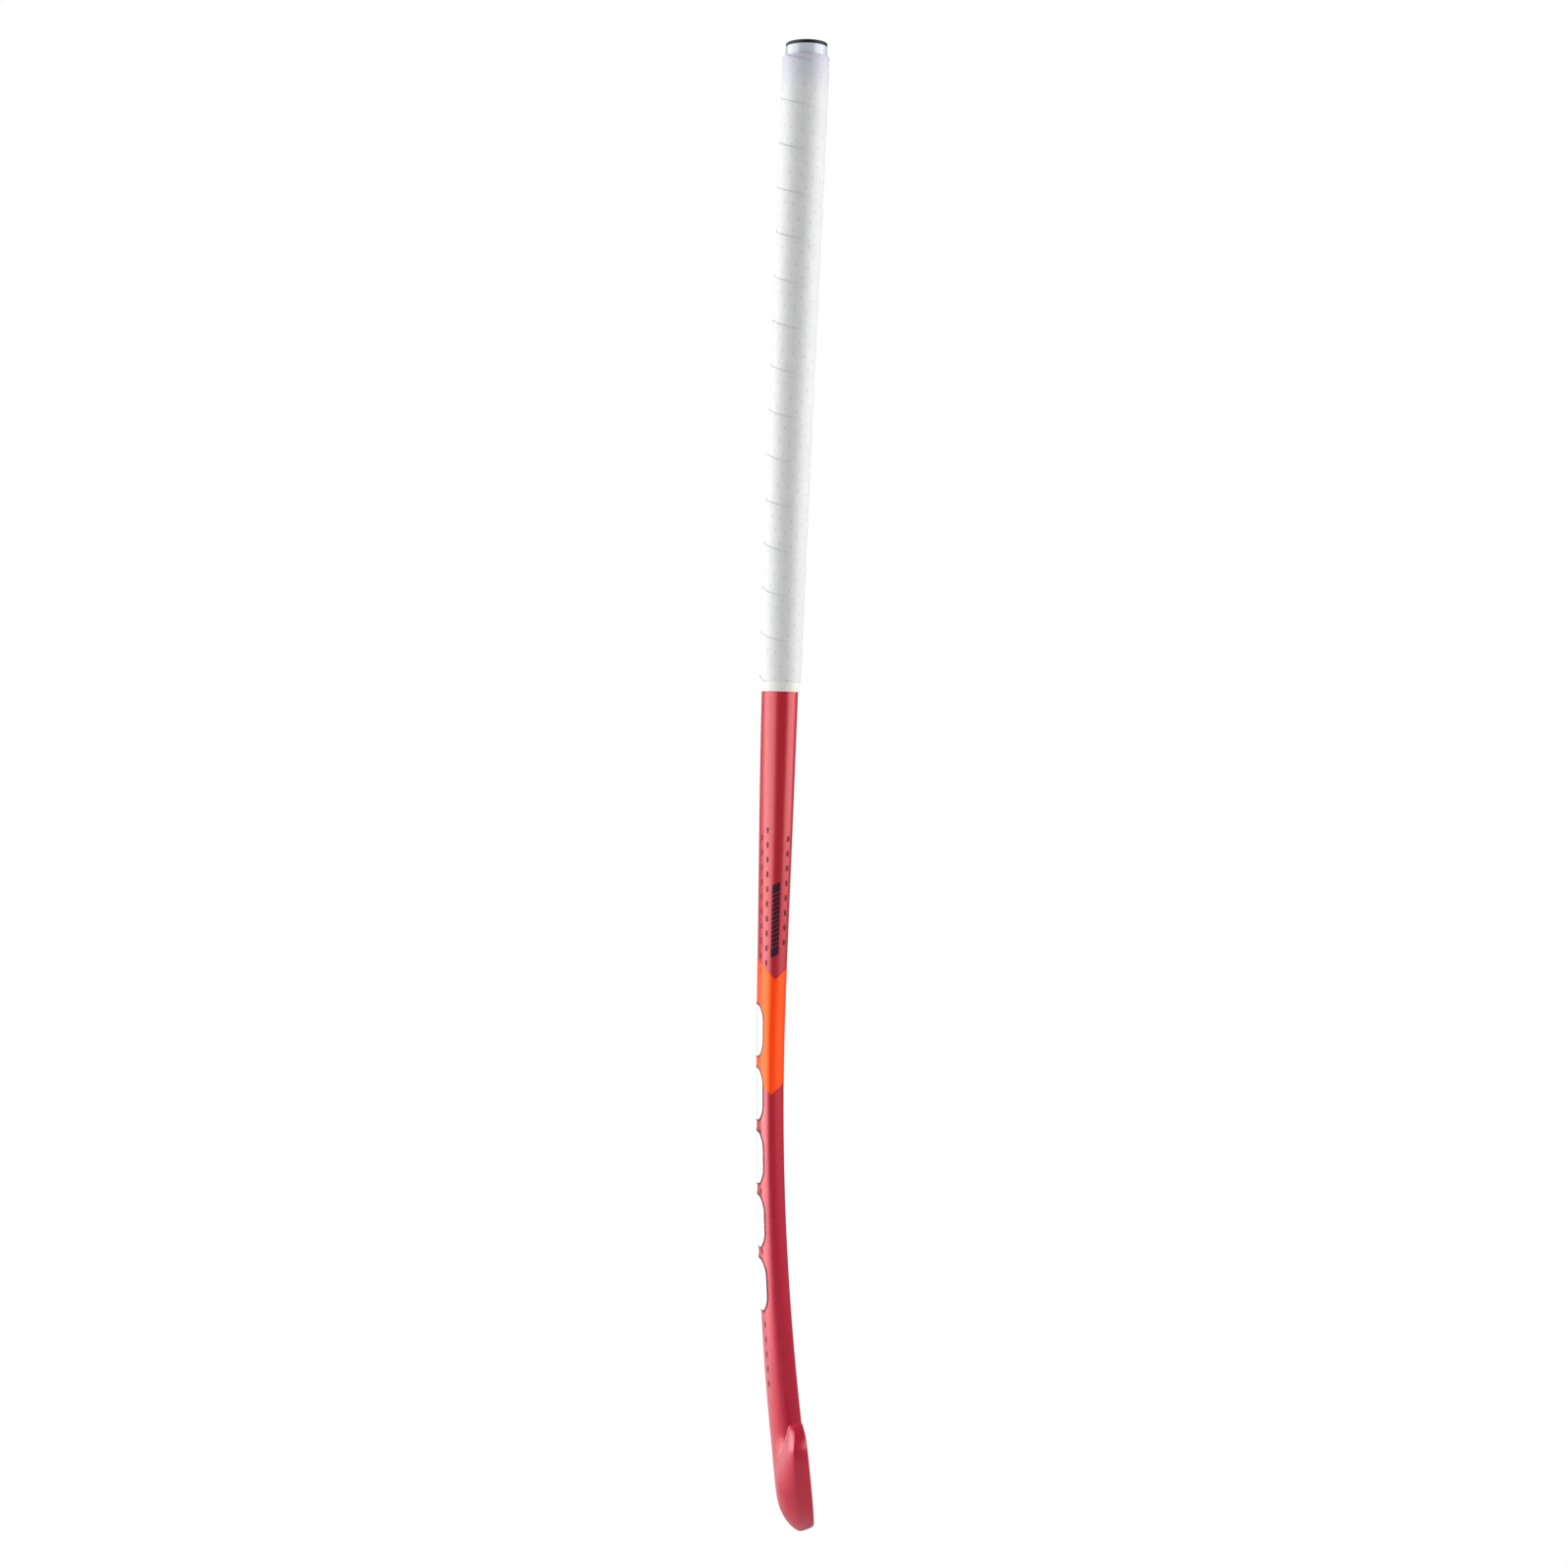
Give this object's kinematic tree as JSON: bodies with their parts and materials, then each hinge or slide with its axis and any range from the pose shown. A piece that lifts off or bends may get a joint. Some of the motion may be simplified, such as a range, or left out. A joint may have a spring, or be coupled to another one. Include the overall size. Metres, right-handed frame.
{
  "type": "field hockey stick",
  "caption": "Bowed field hockey stick: hollow laminate shaft with a flat-faced J-shaped hook, foam-filled head, wrapped grip and end plug.",
  "frame": {"origin": "middle of the flat top of the end plug, on the axis of the straight handle", "axes": "+Z out of the butt along the handle's axis, +X out of the flat playing face, -Y towards the toe"},
  "size_m": [0.0563, 0.1094, 0.9268],
  "materials": {
    "lacquered_laminate": "satin metallic red lacquer over a carbon and glass fibre laminate",
    "inner_laminate": "bare woven carbon laminate",
    "aramid_cloth": "resin-soaked aramid cloth",
    "core_foam": "rigid polyurethane foam",
    "plug_elastomer": "moulded black thermoplastic elastomer, satin",
    "collar_film": "glossy bluish white vinyl tape",
    "cushion_foam": "closed-cell foam strip",
    "adhesive_film": "double-sided adhesive film",
    "grip_polyurethane": "soft perforated white polyurethane wrap, matte",
    "finishing_vinyl": "cream vinyl finishing tape",
    "orange_film": "printed orange film under lacquer",
    "white_film": "printed white film with a dark outline, under lacquer",
    "dark_film": "printed dark film under lacquer"
  },
  "bodies": {
    "root": {"shell_laminate": "lacquered_laminate", "core_tube_toe_side": "inner_laminate", "core_tube_heel_side": "inner_laminate", "tube_stopper_toe_side": "core_foam", "tube_stopper_heel_side": "core_foam", "aramid_sleeve": "aramid_cloth", "head_foam_core": "core_foam", "end_plug": "plug_elastomer", "collar_tape": "collar_film", "cushion_underwrap": "cushion_foam", "grip_adhesive": "adhesive_film", "grip_wrap": "grip_polyurethane", "finishing_tape": "finishing_vinyl", "band_decal": "orange_film", "back_decal": "white_film", "side_decal": "dark_film"}
  },
  "joints": []
}
